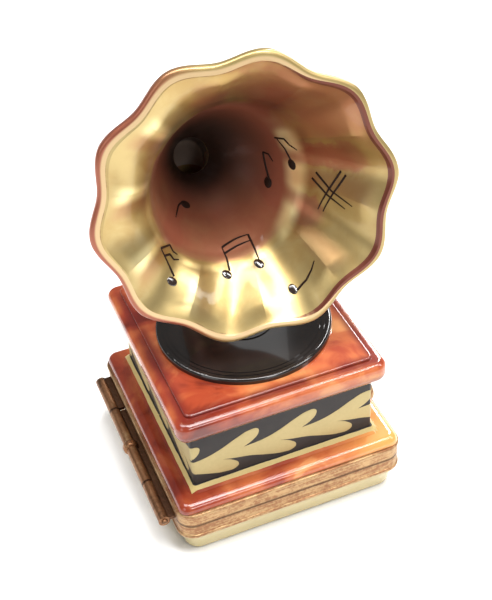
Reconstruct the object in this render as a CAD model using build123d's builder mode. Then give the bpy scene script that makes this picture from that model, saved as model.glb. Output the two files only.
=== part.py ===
"""Hinged porcelain trinket box in the form of a table gramophone.

A shallow tray and a hollow cabinet-shaped lid are each held in a brass mount.
The mounts are hinged along the left side and fastened by a stud and a forked
tongue on the right.  The lid carries a record and a fluted horn on a bent neck.

Millimetres, +Z up, front towards -Y.  The origin is on the table under the
middle of the box.
"""

import os
from math import acos, atan2, cos, degrees, hypot, pi, radians, sin

from build123d import *

# ---------------------------------------------------------------- driving sizes
# Every outline is a rounded rectangle, a constant inset inside the mounts' lips.
mount_width = 40.0
mount_depth = 42.9
mount_corner = 3.0

# Heights, from the table up
tray_height = 4.3  # porcelain below the lower mount
lower_band_height = 2.8
upper_band_height = 2.6
moulding_height = 1.5  # porcelain moulding above the upper mount
fillet_height = 0.95  # gilt fillet under the frieze
frieze_height = 10.1
slab_height = 5.4
slab_neck_height = 0.8
slab_flat_rise = 0.5
slab_under_round = 1.9
slab_upper_round = 1.2

# Insets from the mounts' lips
tray_foot_inset = 1.4
porcelain_inset = 0.5
fillet_inset = 3.0
frieze_inset = 4.2
slab_inset = 2.05
slab_flat_inset = 4.05

# Corner radii of the outlines
moulding_corner = 1.8
fillet_corner = 1.5
frieze_corner = 0.5
slab_corner = 2.0
slab_flat_corner = 1.0
flange_corner = 1.0
cavity_corner = 1.0

# Porcelain walls and their rounded edges
tray_wall = 2.1
tray_floor = 1.9
tray_foot_round = 0.9
tray_floor_round = 1.2
tray_cavity_corner = 1.5
cabinet_wall = 2.2
cabinet_roof_rise = 0.2  # where the skirt's cavity narrows, above the brass
moulding_round = 1.35
fillet_flat = 0.15  # level strip between the sloping fillet and the frieze
fillet_edge = 0.05  # upright edge left under the sloping fillet

# Rounded edges, as shares of the size they round off
lip_round = 0.4
flat_round = 0.6
record_round = 0.45
horn_lip_round = 0.35
bead_round = 0.3
rod_round = 0.4
button_round = 0.6

# Brass mounts
brass = 0.7
lip_stand = 0.18  # how far the rounded lips stand out from the bands
lip_height = 0.75
flange_width = 1.9
bedding = 0.3  # cement between brass and porcelain
parting_gap = 0.06
seat_gap = 0.05  # porcelain shoulder above the brass lip

# Hinge along the left side
barrel_radius = 0.98
pin_radius = 0.5
pin_running = 0.04
pin_stand = 0.3
barrel_gap = 0.72  # daylight between barrel and mount
barrel_end_inset = 3.35  # from the mount's end to the barrels' end
middle_knuckle = 18.6
knuckle_gap = 0.12
bead_radius = 1.36
bead_width = 1.5
web_thickness = 0.55
web_bite = 0.6  # share of the barrel's radius where its web starts

# Clasp on the right side
catch_plate_width = 4.6
catch_plate_thickness = 0.4
catch_plate_corner = 0.5
stud_radius = 0.6
tongue_width = 4.2
tongue_thickness = 0.7
tongue_drop = 1.4
clasp_running = 0.25
button_half_width = 5.1
button_half_height = 2.8
button_thickness = 1.75
button_rise = -0.6

# Record, set between the slab's front margin and the horn's socket
record_x = 0.2
record_thickness = 1.0
record_front_margin = 1.8
record_side_margin = 1.15
record_clearance = 0.3
label_radius = 5.0
label_step = 0.18
edge_line_inset = 1.0
edge_line_pitch = 0.75
edge_line_count = 2
edge_line_width = 0.24
edge_line_depth = 0.1

# Horn
mouth_y = -6.95
mouth_clearance = 6.54  # from the slab's top to the mouth's bottom
mouth_azimuth = -10.6
mouth_tilt = 9.6
mouth_radius = 21.2  # clear radius inside the lip
lip_width = 1.6
lip_depth = 1.7
lip_root_depth = 0.5  # share of the lip's depth where the bell's wall joins it
lip_root_width = 0.4  # share of the lip's width where the bell's wall joins it
bore_run_out = 0.6  # how far the bore runs past the mouth
bore_flare = 0.9  # how much wider the bore is there
lobe_count = 10
lobe_rise = 0.66
lobe_phase = 5.0
flute_end = 0.56  # share of the mouth radius where the flutes fade out
# How the bore narrows: share of the way to the throat, share of the narrowing left
bell_profile = (
    (0.0, 1.0),
    (0.07, 0.896),
    (0.16, 0.769),
    (0.28, 0.626),
    (0.43, 0.484),
    (0.58, 0.379),
    (0.75, 0.231),
    (0.9, 0.077),
    (1.0, 0.0),
)
horn_wall = 1.2
neck_x = -0.5
throat_rise = 22.94  # above the slab's top
throat_set_back = 0.8  # behind the socket
throat_slope = 25.0
throat_bore = 3.0
neck_wall = 1.0
bend_radius = 6.0
neck_foot_radius = 2.1
neck_foot_bore = 1.1
socket_radius = 2.3
socket_margin = 0.9  # from the slab's back edge
socket_height = 2.4
socket_seat = 1.0

# ---------------------------------------------------------------- worked out
z_lower_top = tray_height + lower_band_height
z_upper_bottom = z_lower_top + parting_gap
z_upper_top = z_upper_bottom + upper_band_height
z_shoulder = z_upper_top + seat_gap
z_moulding_top = z_shoulder + moulding_height
z_frieze = z_moulding_top + fillet_height
z_slab = z_frieze + frieze_height
z_top = z_slab + slab_height

rebate_inset = brass + bedding
half_width = mount_width / 2
half_depth = mount_depth / 2

socket_y = half_depth - slab_inset - socket_margin - socket_radius
record_back = socket_y - socket_radius - record_clearance
record_front = record_front_margin - (half_depth - slab_flat_inset)
record_half_width = half_width - slab_flat_inset - record_x - record_side_margin
record_radius = min((record_back - record_front) / 2, record_half_width)
record_y = record_back - record_radius

horn_mouth = (0.0, mouth_y, z_top + mouth_clearance + mouth_radius)
horn_throat = (neck_x, socket_y + throat_set_back, z_top + throat_rise)

stand_up = (Align.CENTER, Align.CENTER, Align.MIN)

os.makedirs("parts", exist_ok=True)


def write(part, name):
    """Label a finished piece and write it as parts/NAME.step."""
    part.label = name
    export_step(part, f"parts/{name}.step")


def outline(inset, corner, mode=Mode.ADD):
    """Sketch a rounded rectangle at a constant inset inside the mounts' lips."""
    RectangleRounded(mount_width - 2 * inset, mount_depth - 2 * inset, corner, mode=mode)


def block(z, height, inset, corner, mode=Mode.ADD):
    """Add or cut a block with a rounded rectangular outline, standing on z."""
    with BuildSketch(Plane.XY.offset(z)) as profile:
        outline(inset, corner)
    extrude(profile.sketch, amount=height, mode=mode)


def ring(z, height, outer, outer_corner, inner, inner_corner):
    """Add a rectangular ring between two insets, standing on z."""
    with BuildSketch(Plane.XY.offset(z)) as profile:
        outline(outer, outer_corner)
        outline(inner, inner_corner, mode=Mode.SUBTRACT)
    extrude(profile.sketch, amount=height)


# ---------------------------------------------------------------- base tray
tray_corner = mount_corner - porcelain_inset
rim_corner = mount_corner - rebate_inset
tray_slope = degrees(atan2(tray_foot_inset - porcelain_inset, tray_height))
tray_inner_inset = porcelain_inset + tray_wall

with BuildPart() as tray_hollow:
    block(tray_floor, z_lower_top, tray_inner_inset, tray_cavity_corner)
    fillet(tray_hollow.faces().sort_by(Axis.Z)[0].edges(), tray_floor_round)

with BuildPart() as base_tray:
    with BuildSketch():
        outline(tray_foot_inset, tray_corner)
    extrude(amount=tray_height, taper=-tray_slope)
    fillet(base_tray.faces().sort_by(Axis.Z)[0].edges(), tray_foot_round)
    block(tray_height, lower_band_height - brass, rebate_inset, rim_corner)
    add(tray_hollow.part, mode=Mode.SUBTRACT)
write(base_tray.part, "base_tray")

# ---------------------------------------------------------------- brass mounts
band_corner = mount_corner - lip_stand
bore_corner = mount_corner - brass
flange_inset = brass + flange_width


def mount_pieces(bottom, height, lip_bottom, flange_bottom):
    """Add a band with a rounded lip at one edge and an inner flange at the other."""
    block(lip_bottom, lip_height, 0, mount_corner)
    lip = edges().group_by(Axis.Z)
    fillet(lip[0] + lip[-1], lip_height * lip_round)
    block(bottom, height, lip_stand, band_corner)
    block(bottom, height, brass, bore_corner, Mode.SUBTRACT)
    ring(flange_bottom, brass, brass, bore_corner, flange_inset, flange_corner)


with BuildPart() as lower_mount:
    mount_pieces(tray_height, lower_band_height, tray_height, z_lower_top - brass)
write(lower_mount.part, "lower_mount")

with BuildPart() as upper_mount:
    lip_bottom = z_upper_top - lip_height
    mount_pieces(z_upper_bottom, upper_band_height, lip_bottom, z_upper_bottom)
write(upper_mount.part, "upper_mount")

with BuildPart() as lower_bedding:
    cement_height = lower_band_height - brass
    ring(tray_height, cement_height, brass, bore_corner, rebate_inset, rim_corner)
write(lower_bedding.part, "lower_bedding")

with BuildPart() as upper_bedding:
    cement_height = upper_band_height - brass
    cement_bottom = z_upper_bottom + brass
    ring(cement_bottom, cement_height, brass, bore_corner, rebate_inset, rim_corner)
write(upper_bedding.part, "upper_bedding")

# ---------------------------------------------------------------- cabinet
cabinet_inner_inset = frieze_inset + cabinet_wall
skirt_inner_inset = porcelain_inset + cabinet_wall
skirt_roof = z_shoulder + cabinet_roof_rise

with BuildPart() as cabinet_body:
    block(z_shoulder, moulding_height, porcelain_inset, moulding_corner)
    fillet(cabinet_body.faces().sort_by(Axis.Z)[-1].edges(), moulding_round)
    block(z_moulding_top, fillet_height, fillet_inset, fillet_corner)
    fillet_run = frieze_inset - fillet_inset - fillet_flat
    fillet_top = cabinet_body.faces().sort_by(Axis.Z)[-1].edges()
    chamfer(fillet_top, fillet_height - fillet_edge, fillet_run)
    rim_bottom = z_upper_bottom + brass
    block(rim_bottom, z_shoulder - rim_bottom, rebate_inset, rim_corner)
    block(z_shoulder, z_slab - z_shoulder, frieze_inset, frieze_corner)
    block(rim_bottom, skirt_roof - rim_bottom, skirt_inner_inset, cavity_corner, Mode.SUBTRACT)
    block(skirt_roof, z_slab - skirt_roof, cabinet_inner_inset, cavity_corner, Mode.SUBTRACT)
write(cabinet_body.part, "cabinet_body")

# The slab closes the cabinet: a short neck, a round-edged board with a deeper
# curve underneath, and a raised flat with a blind seat for the horn's socket.
slab_board_bottom = z_slab + slab_neck_height
slab_board_top = z_top - slab_flat_rise
socket_bottom = z_top - socket_seat

with BuildPart() as cabinet_top:
    board_height = slab_board_top - slab_board_bottom
    block(slab_board_bottom, board_height, slab_inset, slab_corner)
    fillet(cabinet_top.faces().sort_by(Axis.Z)[0].edges(), slab_under_round)
    fillet(cabinet_top.faces().sort_by(Axis.Z)[-1].edges(), slab_upper_round)
    block(z_slab, board_height, frieze_inset, frieze_corner)
    flat_bottom = slab_board_top - slab_flat_rise
    block(flat_bottom, z_top - flat_bottom, slab_flat_inset, slab_flat_corner)
    fillet(cabinet_top.faces().sort_by(Axis.Z)[-1].edges(), slab_flat_rise * flat_round)
    with Locations((neck_x, socket_y, socket_bottom)):
        Cylinder(socket_radius, socket_seat, align=stand_up, mode=Mode.SUBTRACT)
write(cabinet_top.part, "cabinet_top")

# ---------------------------------------------------------------- record
z_record_top = z_top + record_thickness

with BuildPart() as record_disc:
    with Locations((record_x, record_y, z_top)):
        Cylinder(record_radius, record_thickness, align=stand_up)
    fillet(record_disc.faces().sort_by(Axis.Z)[-1].edges(), record_thickness * record_round)
    with Locations((record_x, record_y, z_record_top)):
        Cylinder(label_radius, label_step, align=stand_up)
    with BuildSketch(Plane.XY.offset(z_record_top)):
        with Locations((record_x, record_y)):
            for line in range(edge_line_count):
                middle = record_radius - edge_line_inset - line * edge_line_pitch
                Circle(middle + edge_line_width / 2)
                Circle(middle - edge_line_width / 2, mode=Mode.SUBTRACT)
    extrude(amount=-edge_line_depth, mode=Mode.SUBTRACT)
write(record_disc.part, "record_disc")

# ---------------------------------------------------------------- horn bell
mouth = Vector(*horn_mouth)
throat = Vector(*horn_throat)
bearing, rise = radians(mouth_azimuth), radians(mouth_tilt)
mouth_out = Vector(sin(bearing) * cos(rise), -cos(bearing) * cos(rise), sin(rise))
slope = radians(throat_slope)
throat_back = Vector(0, cos(slope), -sin(slope))
bell_length = (throat - mouth).length


def bell_plane(share):
    """Return the plane across the bell at a share of the way from mouth to throat.

    The centreline is a cubic that leaves the mouth square to it and arrives in
    line with the neck; the plane's normal points out of the mouth.
    """
    t, start, end = share, mouth_out * -bell_length, throat_back * bell_length
    place = (
        mouth * (2 * t**3 - 3 * t**2 + 1)
        + start * (t**3 - 2 * t**2 + t)
        + throat * (3 * t**2 - 2 * t**3)
        + end * (t**3 - t**2)
    )
    heading = (
        mouth * (6 * t**2 - 6 * t)
        + start * (3 * t**2 - 4 * t + 1)
        + throat * (6 * t - 6 * t**2)
        + end * (3 * t**2 - 2 * t)
    )
    out = heading.normalized() * -1
    across = Vector(0, 0, 1).cross(out).normalized()
    return Plane(place, x_dir=across, z_dir=out)


def lobed_outline(radius, mode=Mode.ADD):
    """Sketch a circle whose lobes fade out towards the throat."""
    fade = max(0.0, (radius / mouth_radius - flute_end) / (1 - flute_end))
    points = []
    for step in range(lobe_count * 4):
        turn = 2 * pi * step / (lobe_count * 4) + radians(lobe_phase)
        reach = radius + lobe_rise * fade * cos(lobe_count * (turn - radians(lobe_phase)))
        points.append((reach * cos(turn), reach * sin(turn)))
    with BuildLine() as loop:
        Spline(*points, periodic=True)
    make_face(loop.edges(), mode=mode)


narrowing = mouth_radius - throat_bore
bell_sections = [(way, throat_bore + narrowing * left) for way, left in bell_profile]

with BuildPart() as bell_bore:
    with BuildSketch(bell_plane(0).offset(bore_run_out)):
        lobed_outline(mouth_radius + bore_flare)
    for way, radius in bell_sections[1:]:
        with BuildSketch(bell_plane(way)):
            lobed_outline(radius)
    loft()

with BuildPart() as horn_lip:
    with BuildSketch(bell_plane(0)):
        lobed_outline(mouth_radius + lip_width)
    extrude(amount=-lip_depth)
    fillet(horn_lip.edges(), lip_depth * horn_lip_round)

with BuildPart() as horn_bell:
    with BuildSketch(bell_plane(0).offset(-lip_depth * lip_root_depth)):
        lobed_outline(mouth_radius + lip_width * lip_root_width)
    for way, radius in bell_sections[2:]:
        with BuildSketch(bell_plane(way)):
            lobed_outline(radius + horn_wall)
    loft()
    add(horn_lip.part)
    add(bell_bore.part, mode=Mode.SUBTRACT)
write(horn_bell.part, "horn_bell")

# ---------------------------------------------------------------- horn neck
# The bore bends down behind the horn, then narrows in a straight leg that leans
# forward to its socket on the slab.
bend_centre = throat + Vector(0, -sin(slope), -cos(slope)) * bend_radius
socket_foot = Vector(neck_x, socket_y, z_top)
to_foot = socket_foot - bend_centre
reach = hypot(to_foot.Y, to_foot.Z)
foot_angle = atan2(to_foot.Z, to_foot.Y) + acos(bend_radius / reach)
start_angle = pi / 2 - slope
bend_end = bend_centre + Vector(0, cos(foot_angle), sin(foot_angle)) * bend_radius
leg_down = Vector(0, sin(foot_angle), -cos(foot_angle))
leg_length = (socket_height - (bend_end.Z - z_top)) / leg_down.Z
leg_end = bend_end + leg_down * leg_length
across_neck = Vector(1, 0, 0)
bend_start_plane = Plane(throat, x_dir=across_neck, z_dir=throat_back)
bend_end_plane = Plane(bend_end, x_dir=across_neck, z_dir=leg_down)
leg_end_plane = Plane(leg_end, x_dir=across_neck, z_dir=leg_down)
bend_turn = degrees(start_angle - foot_angle)
throat_radius = throat_bore + neck_wall

with BuildPart() as horn_neck:
    with BuildSketch(bend_start_plane):
        Circle(throat_radius)
        Circle(throat_bore, mode=Mode.SUBTRACT)
    revolve(axis=Axis(bend_centre, across_neck), revolution_arc=-bend_turn)
    with BuildSketch(bend_end_plane):
        Circle(throat_radius)
    with BuildSketch(leg_end_plane):
        Circle(neck_foot_radius)
    loft()
    with BuildSketch(bend_end_plane):
        Circle(throat_bore)
    with BuildSketch(leg_end_plane):
        Circle(neck_foot_bore)
    loft(mode=Mode.SUBTRACT)
write(horn_neck.part, "horn_neck")

with BuildPart() as horn_socket:
    with Locations((neck_x, socket_y, socket_bottom)):
        Cylinder(socket_radius, socket_seat, align=stand_up)
    with BuildSketch(Plane((neck_x, socket_y, z_top))):
        Circle(socket_radius)
    with BuildSketch(leg_end_plane):
        Circle(neck_foot_radius)
    loft()
write(horn_socket.part, "horn_socket")

# ---------------------------------------------------------------- hinge
# Three barrels on one pin: the long middle one is soldered to the lower mount,
# the two end ones to the upper mount.
hinge_x = -(half_width + barrel_gap + barrel_radius)
hinge_z = (z_lower_top + z_upper_bottom) / 2
barrel_length = mount_depth - 2 * barrel_end_inset
pin_length = barrel_length + 2 * pin_stand
end_knuckle = (barrel_length - middle_knuckle) / 2 - knuckle_gap
end_middle = (barrel_length - end_knuckle) / 2
band_face = half_width - lip_stand


def barrel(middle_y, length, bore):
    """Add a barrel along the hinge axis, centred on middle_y."""
    with Locations(Location((hinge_x, middle_y, hinge_z), (90, 0, 0))):
        Cylinder(barrel_radius, length)
        Cylinder(bore, length, mode=Mode.SUBTRACT)


def web(middle_y, length, bottom, bore):
    """Add the solder web that joins a barrel to its mount, clear of the pin."""
    start = hinge_x + barrel_radius * web_bite
    finish = -band_face
    with Locations(((start + finish) / 2, middle_y, bottom + web_thickness / 2)):
        Box(finish - start, length, web_thickness)
    with Locations(Location((hinge_x, middle_y, hinge_z), (90, 0, 0))):
        Cylinder(bore, length, mode=Mode.SUBTRACT)


with BuildPart() as middle_barrel:
    barrel(0, middle_knuckle, pin_radius)
    web(0, middle_knuckle, z_lower_top - web_thickness, pin_radius)
write(middle_barrel.part, "middle_barrel")

with BuildPart() as barrel_bead:
    with Locations(Location((hinge_x, 0, hinge_z), (90, 0, 0))):
        Cylinder(bead_radius, bead_width)
    fillet(barrel_bead.edges(), bead_width * bead_round)
    with Locations(Location((hinge_x, 0, hinge_z), (90, 0, 0))):
        Cylinder(barrel_radius, bead_width, mode=Mode.SUBTRACT)
    add(middle_barrel.part, mode=Mode.SUBTRACT)
write(barrel_bead.part, "barrel_bead")

for side, name in ((-1, "front_barrel"), (1, "rear_barrel")):
    with BuildPart() as end_barrel:
        barrel(side * end_middle, end_knuckle, pin_radius + pin_running)
        web(side * end_middle, end_knuckle, z_upper_bottom, pin_radius + pin_running)
    write(end_barrel.part, name)

with BuildPart() as hinge_pin:
    with Locations(Location((hinge_x, 0, hinge_z), (90, 0, 0))):
        Cylinder(pin_radius, pin_length)
    fillet(hinge_pin.edges(), pin_radius * rod_round)
write(hinge_pin.part, "hinge_pin")

# ---------------------------------------------------------------- clasp
# A stud stands out of a plate on the lower mount.  A forked tongue soldered to the
# upper mount drops over it, behind an oval button that the fingernail lifts.
plate_bottom = tray_height + lip_height + seat_gap
plate_face = band_face + catch_plate_thickness
stud_z = (plate_bottom + z_lower_top) / 2  # level with the plate's middle
tongue_back = plate_face + clasp_running
tongue_front = tongue_back + tongue_thickness
stud_length = tongue_front - clasp_running - plate_face
slot_half = stud_radius + clasp_running
slot_top = stud_z + slot_half
tongue_bottom = stud_z - tongue_drop
tongue_top = z_upper_top - lip_height - clasp_running
pad_bottom = z_upper_bottom + clasp_running

with BuildPart() as catch_plate:
    with Locations(((band_face + plate_face) / 2, 0, stud_z)):
        Box(catch_plate_thickness, catch_plate_width, z_lower_top - plate_bottom)
    fillet(catch_plate.edges().filter_by(Axis.X), catch_plate_corner)
write(catch_plate.part, "catch_plate")

with BuildPart() as catch_stud:
    with Locations(Location((plate_face, 0, stud_z), (0, 90, 0))):
        Cylinder(stud_radius, stud_length, align=stand_up)
    fillet(catch_stud.faces().sort_by(Axis.X)[-1].edges(), stud_radius * rod_round)
write(catch_stud.part, "catch_stud")

with BuildPart() as clasp_tongue:
    tongue_middle_x = (tongue_back + tongue_front) / 2
    with Locations((tongue_middle_x, 0, (tongue_bottom + tongue_top) / 2)):
        Box(tongue_thickness, tongue_width, tongue_top - tongue_bottom)
    with Locations(((band_face + tongue_back) / 2, 0, (pad_bottom + tongue_top) / 2)):
        Box(tongue_back - band_face, tongue_width, tongue_top - pad_bottom)
    with Locations((tongue_middle_x, 0, (tongue_bottom + stud_z) / 2)):
        Box(tongue_thickness, 2 * slot_half, stud_z - tongue_bottom, mode=Mode.SUBTRACT)
    with Locations(Location((tongue_middle_x, 0, stud_z), (0, 90, 0))):
        Cylinder(slot_half, tongue_thickness, mode=Mode.SUBTRACT)
write(clasp_tongue.part, "clasp_tongue")

with BuildPart() as clasp_button:
    button_z = stud_z + button_rise
    with BuildSketch(Plane((tongue_front, 0, button_z), x_dir=(0, 1, 0), z_dir=(1, 0, 0))):
        Ellipse(button_half_width, button_half_height)
    extrude(amount=button_thickness)
    fillet(clasp_button.faces().sort_by(Axis.X)[-1].edges(), button_thickness * button_round)
write(clasp_button.part, "clasp_button")
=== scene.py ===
"""Porcelain gramophone trinket box: finishes, painted garland and notes, studio."""

import logging
import math
from dataclasses import dataclass, field
from enum import Enum

import bpy
from mathutils import Euler, Matrix, Vector


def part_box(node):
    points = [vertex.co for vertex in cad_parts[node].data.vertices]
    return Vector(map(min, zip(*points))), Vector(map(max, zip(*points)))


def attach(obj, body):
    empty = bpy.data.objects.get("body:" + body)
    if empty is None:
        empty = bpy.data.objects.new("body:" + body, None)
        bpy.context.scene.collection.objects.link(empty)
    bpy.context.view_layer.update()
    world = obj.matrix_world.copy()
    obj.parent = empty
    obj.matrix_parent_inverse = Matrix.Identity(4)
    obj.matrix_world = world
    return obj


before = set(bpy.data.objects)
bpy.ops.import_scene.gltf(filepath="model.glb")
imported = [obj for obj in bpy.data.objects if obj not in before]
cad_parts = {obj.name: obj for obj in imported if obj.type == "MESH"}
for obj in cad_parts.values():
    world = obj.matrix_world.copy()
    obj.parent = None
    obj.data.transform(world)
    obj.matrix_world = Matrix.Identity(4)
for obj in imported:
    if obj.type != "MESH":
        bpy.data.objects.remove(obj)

log = logging.getLogger("trinket_box")

MM = 0.001
Colour = tuple[float, float, float]
Socket = bpy.types.NodeSocket
# Where a smooth step starts and where it ends.
Span = tuple[float, float]
# A place across and up, or half a width and half a depth.
Pair = tuple[float, float]

PORCELAIN: Colour = (0.80, 0.77, 0.70)


# ------------------------------------------------------------------ node helper
@dataclass(frozen=True)
class Grain:
    """How a noise looks.

    Attributes:
        scale: how fine it is, per metre.
        detail: how many finer layers it has.
        roughness: how much each finer layer counts.
        warp: how far it is distorted.
    """

    scale: float
    detail: float = 3.0
    roughness: float = 0.55
    warp: float = 0.0


def opaque(value: object) -> object:
    """Return a colour with an alpha of 1, and anything else as it is."""
    return (*value, 1.0) if isinstance(value, tuple) else value


class Weave:
    """Small helper that adds and links nodes in one material."""

    def __init__(self, name: str) -> None:
        """Start an empty material with one shader and one output.

        Args:
            name: name of the material.
        """
        self.material = bpy.data.materials.new(name)
        self.material.use_nodes = True
        self.nodes = self.material.node_tree.nodes
        self.links = self.material.node_tree.links
        self.nodes.clear()
        self.output = self.nodes.new("ShaderNodeOutputMaterial")
        self.shader = self.nodes.new("ShaderNodeBsdfPrincipled")
        self.links.new(self.shader.outputs[0], self.output.inputs[0])

    def put(self, node: bpy.types.Node, key: str | int, value: object) -> None:
        """Set or link one input of a node.

        Args:
            node: the node.
            key: name or number of the input.
            value: a socket to link, or a plain value to set.
        """
        if isinstance(value, Socket):
            self.links.new(value, node.inputs[key])
        else:
            node.inputs[key].default_value = value

    def set(self, **values: object) -> None:
        """Set or link inputs of the shader, with underscores for spaces."""
        for key, value in values.items():
            self.put(self.shader, key.replace("_", " "), opaque(value))

    def place(self) -> Socket:
        """Return the object coordinates, in metres."""
        return self.nodes.new("ShaderNodeTexCoord").outputs["Object"]

    def facing(self) -> Socket:
        """Return the surface normal in the object's own axes."""
        return self.nodes.new("ShaderNodeTexCoord").outputs["Normal"]

    def seen_from(self, vector: Socket, turn: Euler, at: Vector | None = None) -> Socket:
        """Return a vector as it is in a frame of its own.

        Args:
            vector: the vector.
            turn: the frame's rotation.
            at: the frame's origin in metres, or None for the object's.

        Returns:
            The vector in that frame.
        """
        node = self.nodes.new("ShaderNodeMapping")
        node.vector_type = "TEXTURE"
        self.put(node, "Vector", vector)
        node.inputs["Rotation"].default_value = turn
        if at is not None:
            node.inputs["Location"].default_value = at
        return node.outputs[0]

    def stretched(self, scale: tuple[float, float, float]) -> Socket:
        """Return the object coordinates with each axis scaled.

        Args:
            scale: the scale of each axis.

        Returns:
            The scaled coordinates.
        """
        node = self.nodes.new("ShaderNodeMapping")
        self.put(node, "Vector", self.place())
        node.inputs["Scale"].default_value = scale
        return node.outputs[0]

    def split(self, vector: Socket) -> list[Socket]:
        """Return the three parts of a vector.

        Args:
            vector: the vector.

        Returns:
            Its X, Y and Z.
        """
        node = self.nodes.new("ShaderNodeSeparateXYZ")
        self.put(node, 0, vector)
        return list(node.outputs)

    def math(self, how: str, *values: object) -> Socket:
        """Return the result of a Math node.

        Args:
            how: the node's operation.
            values: one value, or several taken together from the left.

        Returns:
            The result.
        """
        node = self.nodes.new("ShaderNodeMath")
        node.operation = how
        for index, value in enumerate(values[:2]):
            self.put(node, index, value)
        if len(values) > 2:
            return self.math(how, node.outputs[0], *values[2:])
        return node.outputs[0]

    def times(self, *values: object) -> Socket:
        """Return the values multiplied."""
        return self.math("MULTIPLY", *values)

    def plus(self, *values: object) -> Socket:
        """Return the values added."""
        return self.math("ADD", *values)

    def minus(self, first: object, second: object) -> Socket:
        """Return the first value less the second."""
        return self.math("SUBTRACT", first, second)

    def most(self, *values: object) -> Socket:
        """Return the largest of the values."""
        return self.math("MAXIMUM", *values)

    def above(self, value: object, limit: object) -> Socket:
        """Return 1 where a value is over a limit."""
        return self.math("GREATER_THAN", value, limit)

    def below(self, value: object, limit: object) -> Socket:
        """Return 1 where a value is under a limit."""
        return self.math("LESS_THAN", value, limit)

    def cosine(self, angle: object) -> Socket:
        """Return the cosine of an angle."""
        return self.math("COSINE", angle)

    def unsigned(self, value: object) -> Socket:
        """Return a value without its sign."""
        return self.math("ABSOLUTE", value)

    def off(self, value: object, middle: float) -> Socket:
        """Return how far a value is from a middle one, either way."""
        return self.unsigned(self.minus(value, middle))

    def inverse(self, share: object) -> Socket:
        """Return what is left of a share."""
        return self.minus(1.0, share)

    def sway(self, noise: Socket, width: float) -> Socket:
        """Return a noise made to swing about 0, this wide."""
        return self.times(self.minus(noise, 0.5), width)

    def length(self, first: object, second: object) -> Socket:
        """Return the length of a step one way and then square to it."""
        squares = self.plus(self.math("POWER", first, 2.0), self.math("POWER", second, 2.0))
        return self.math("SQRT", squares)

    def within(self, x: Socket, y: Socket, half: Pair) -> Socket:
        """Return 1 inside a rectangle round the middle, given by its half sizes.

        Args:
            x: place along the first side.
            y: place along the second side.
            half: the rectangle's two half sizes.

        Returns:
            1 inside and 0 outside.
        """
        return self.times(
            self.below(self.unsigned(x), half[0]), self.below(self.unsigned(y), half[1])
        )

    def past(self, x: Socket, y: Socket, half: Pair) -> Socket:
        """Return how far a place is outside such a rectangle.

        Args:
            x: place along the first side.
            y: place along the second side.
            half: the rectangle's two half sizes.

        Returns:
            The distance, under 0 inside.
        """
        return self.most(
            self.minus(self.unsigned(x), half[0]), self.minus(self.unsigned(y), half[1])
        )

    def between(self, value: object, start: float, end: float) -> Socket:
        """Return a smooth step from 0 at the start to 1 at the end.

        Args:
            value: the value that is tested.
            start: where the step is 0.
            end: where it is 1, over or under the start.

        Returns:
            The step.
        """
        rising = start <= end
        node = self.nodes.new("ShaderNodeMapRange")
        node.interpolation_type = "SMOOTHSTEP"
        self.put(node, "Value", value)
        node.inputs["From Min"].default_value = min(start, end)
        node.inputs["From Max"].default_value = max(start, end)
        node.inputs["To Min"].default_value = 0.0 if rising else 1.0
        node.inputs["To Max"].default_value = 1.0 if rising else 0.0
        return node.outputs[0]

    def noise(self, grain: Grain, place: Socket | None = None) -> Socket:
        """Return a noise value.

        Args:
            grain: how the noise looks.
            place: coordinates, or None for the object's.

        Returns:
            The noise, about 0.5 on average.
        """
        node = self.nodes.new("ShaderNodeTexNoise")
        self.put(node, "Vector", self.place() if place is None else place)
        self.put(node, "Scale", grain.scale)
        self.put(node, "Detail", grain.detail)
        self.put(node, "Roughness", grain.roughness)
        self.put(node, "Distortion", grain.warp)
        return node.outputs["Fac"]

    def ramp(self, value: object, *stops: tuple[float, Colour]) -> Socket:
        """Return a colour that changes with a value.

        Args:
            value: the value.
            stops: values and their colours, from the lowest.

        Returns:
            The colour.
        """
        node = self.nodes.new("ShaderNodeValToRGB")
        self.put(node, 0, value)
        ramp = node.color_ramp
        ramp.interpolation = "EASE"
        while len(ramp.elements) < len(stops):
            ramp.elements.new(1.0)
        for element, (at, colour) in zip(ramp.elements, stops):
            element.position = at
            element.color = opaque(colour)
        return node.outputs[0]

    def mix(self, share: object, first: object, second: object) -> Socket:
        """Return one colour going to another.

        Args:
            share: how much of the second colour there is, from 0 to 1.
            first: the colour at 0.
            second: the colour at 1.

        Returns:
            The colour between them.
        """
        factor, colour_a, colour_b, mixed = 0, 6, 7, 2
        node = self.nodes.new("ShaderNodeMix")
        node.data_type = "RGBA"
        self.put(node, factor, share)
        self.put(node, colour_a, opaque(first))
        self.put(node, colour_b, opaque(second))
        return node.outputs[mixed]

    def blend(self, share: object, first: object, second: object) -> Socket:
        """Return one number going to another.

        Args:
            share: how much of the second number there is, from 0 to 1.
            first: the number at 0.
            second: the number at 1.

        Returns:
            The number between them.
        """
        factor, number_a, number_b = 0, 2, 3
        node = self.nodes.new("ShaderNodeMix")
        node.data_type = "FLOAT"
        self.put(node, factor, share)
        self.put(node, number_a, first)
        self.put(node, number_b, second)
        return node.outputs[0]

    def bump(self, height: object, distance: float, strength: float = 1.0) -> None:
        """Drive the shader's normal from a height.

        Args:
            height: the height, from 0 to 1.
            distance: how high 1 is, in metres.
            strength: how much of the bump shows.
        """
        node = self.nodes.new("ShaderNodeBump")
        self.put(node, "Height", height)
        self.put(node, "Distance", distance)
        self.put(node, "Strength", strength)
        self.put(self.shader, "Normal", node.outputs[0])


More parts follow.
